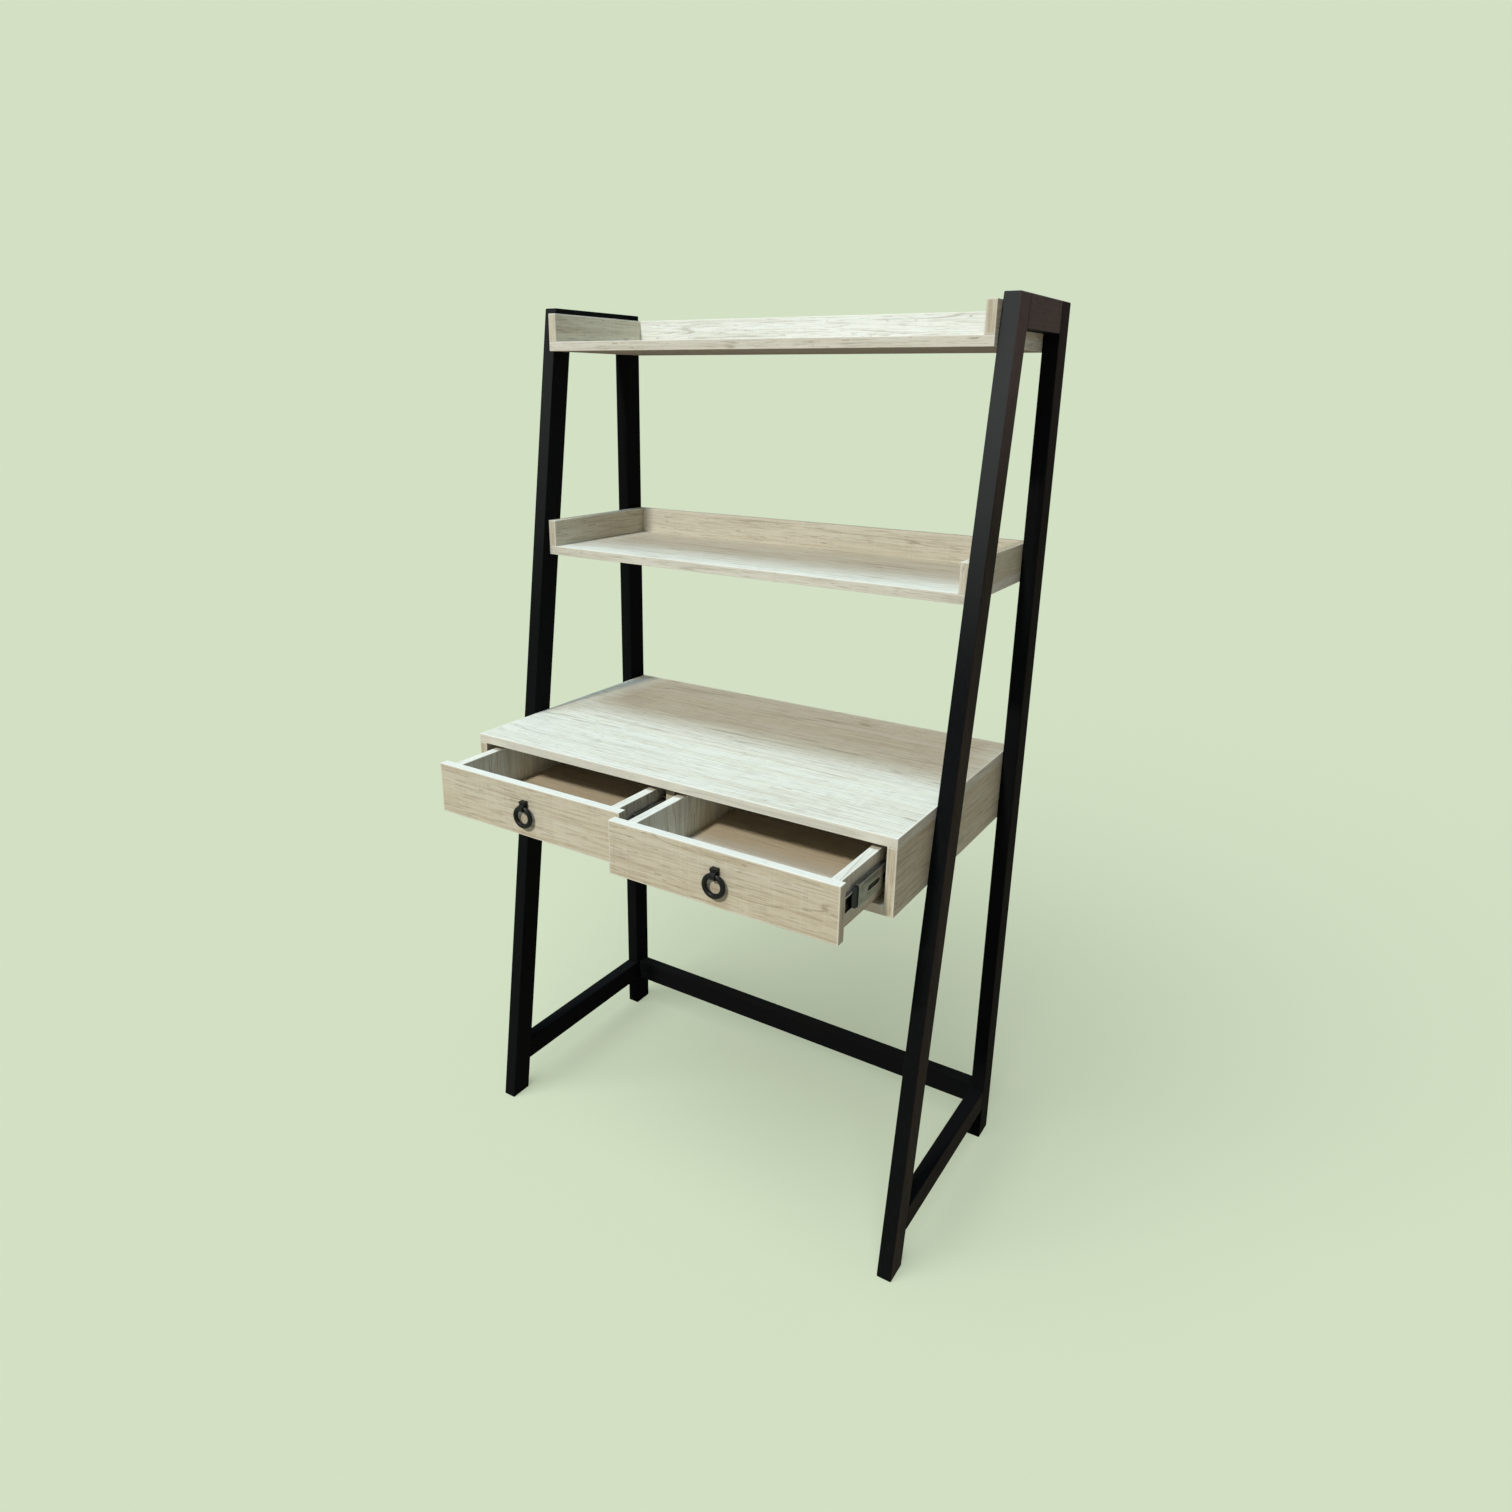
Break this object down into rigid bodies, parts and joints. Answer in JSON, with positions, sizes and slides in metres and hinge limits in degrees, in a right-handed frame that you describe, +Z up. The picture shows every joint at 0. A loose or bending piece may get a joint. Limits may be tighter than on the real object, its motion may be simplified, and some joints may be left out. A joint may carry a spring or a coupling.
{
  "type": "ladder desk",
  "caption": "Ladder desk: dark stained leaning side frames carry rimmed shelves and a drawer case in pale limed-oak laminate, with ring-pull drawers on ball slides.",
  "frame": {"origin": "bottom centre of the whole part on the floor, with the drawers drawn out as they rest", "axes": "+X to the right as seen from the front, +Y to the back, +Z up"},
  "size_m": [0.88, 0.6486, 1.55],
  "materials": {
    "stained_wood": "satin espresso stain",
    "oak_laminate": "matt limed-oak laminate",
    "hardboard": "matt hardboard",
    "slide_zinc": "zinc plated",
    "screw_steel": "zinc plated",
    "pull_black": "matt black",
    "black_plastic": "moulded, matt",
    "beech": "plain"
  },
  "bodies": {
    "frame": {"desk_back": "oak_laminate", "desk_bottom": "oak_laminate", "desk_divider": "oak_laminate", "desk_left_side": "oak_laminate", "desk_right_side": "oak_laminate", "desk_top": "oak_laminate", "dowels": "beech", "left_drawer_left_slide_outer": "slide_zinc", "left_drawer_right_slide_outer": "slide_zinc", "left_front_leg": "stained_wood", "left_rear_leg": "stained_wood", "left_side_stretcher": "stained_wood", "left_top_rail": "stained_wood", "middle_shelf_back_rim": "oak_laminate", "middle_shelf_board": "oak_laminate", "middle_shelf_left_rim": "oak_laminate", "middle_shelf_right_rim": "oak_laminate", "rear_stretcher": "stained_wood", "right_drawer_left_slide_outer": "slide_zinc", "right_drawer_right_slide_outer": "slide_zinc", "right_front_leg": "stained_wood", "right_rear_leg": "stained_wood", "right_side_stretcher": "stained_wood", "right_top_rail": "stained_wood", "slide_screws": "screw_steel", "top_shelf_back_rim": "oak_laminate", "top_shelf_board": "oak_laminate", "top_shelf_left_rim": "oak_laminate", "top_shelf_right_rim": "oak_laminate", "wood_screws": "screw_steel"},
    "left_drawer": {"left_drawer_back": "oak_laminate", "left_drawer_bottom": "hardboard", "left_drawer_dowels": "beech", "left_drawer_front": "oak_laminate", "left_drawer_left_side": "oak_laminate", "left_drawer_left_slide_inner": "slide_zinc", "left_drawer_pull_post": "pull_black", "left_drawer_pull_screw": "screw_steel", "left_drawer_right_side": "oak_laminate", "left_drawer_right_slide_inner": "slide_zinc", "left_drawer_screws": "screw_steel"},
    "right_drawer": {"right_drawer_back": "oak_laminate", "right_drawer_bottom": "hardboard", "right_drawer_dowels": "beech", "right_drawer_front": "oak_laminate", "right_drawer_left_side": "oak_laminate", "right_drawer_left_slide_inner": "slide_zinc", "right_drawer_pull_post": "pull_black", "right_drawer_pull_screw": "screw_steel", "right_drawer_right_side": "oak_laminate", "right_drawer_right_slide_inner": "slide_zinc", "right_drawer_screws": "screw_steel"},
    "left_slide_middles": {"left_drawer_left_slide_middle": "slide_zinc", "left_drawer_right_slide_middle": "slide_zinc"},
    "right_slide_middles": {"right_drawer_left_slide_middle": "slide_zinc", "right_drawer_right_slide_middle": "slide_zinc"},
    "left_slide_cages": {"left_drawer_slide_cages": "black_plastic"},
    "right_slide_cages": {"right_drawer_slide_cages": "black_plastic"},
    "left_ring": {"left_drawer_pull_ring": "pull_black"},
    "right_ring": {"right_drawer_pull_ring": "pull_black"}
  },
  "joints": [
    {"name": "left_drawer_slide", "type": "slide", "parent": "frame", "child": "left_drawer", "axis": [0, -1, 0], "range_m": [-0.112, 0.248]},
    {"name": "left_middle_slide", "type": "slide", "parent": "frame", "child": "left_slide_middles", "axis": [0, -1, 0], "range_m": [-0.0784, 0.1736]},
    {"name": "left_cage_slide", "type": "slide", "parent": "frame", "child": "left_slide_cages", "axis": [0, -1, 0], "range_m": [-0.0952, 0.2108]},
    {"name": "left_ring_hinge", "type": "hinge", "parent": "left_drawer", "child": "left_ring", "pos_m": [-0.199, -0.2877, 0.754], "axis": [-1, 0, 0], "range_deg": [-4, 100]},
    {"name": "right_drawer_slide", "type": "slide", "parent": "frame", "child": "right_drawer", "axis": [0, -1, 0], "range_m": [-0.142, 0.218]},
    {"name": "right_middle_slide", "type": "slide", "parent": "frame", "child": "right_slide_middles", "axis": [0, -1, 0], "range_m": [-0.0994, 0.1526]},
    {"name": "right_cage_slide", "type": "slide", "parent": "frame", "child": "right_slide_cages", "axis": [0, -1, 0], "range_m": [-0.1207, 0.1853]},
    {"name": "right_ring_hinge", "type": "hinge", "parent": "right_drawer", "child": "right_ring", "pos_m": [0.199, -0.3177, 0.754], "axis": [-1, 0, 0], "range_deg": [-4, 100]}
  ],
  "couplings": [
    {"joint": "left_middle_slide", "follows": "left_drawer_slide", "ratio": 0.7},
    {"joint": "left_cage_slide", "follows": "left_drawer_slide", "ratio": 0.85},
    {"joint": "right_middle_slide", "follows": "right_drawer_slide", "ratio": 0.7},
    {"joint": "right_cage_slide", "follows": "right_drawer_slide", "ratio": 0.85}
  ]
}
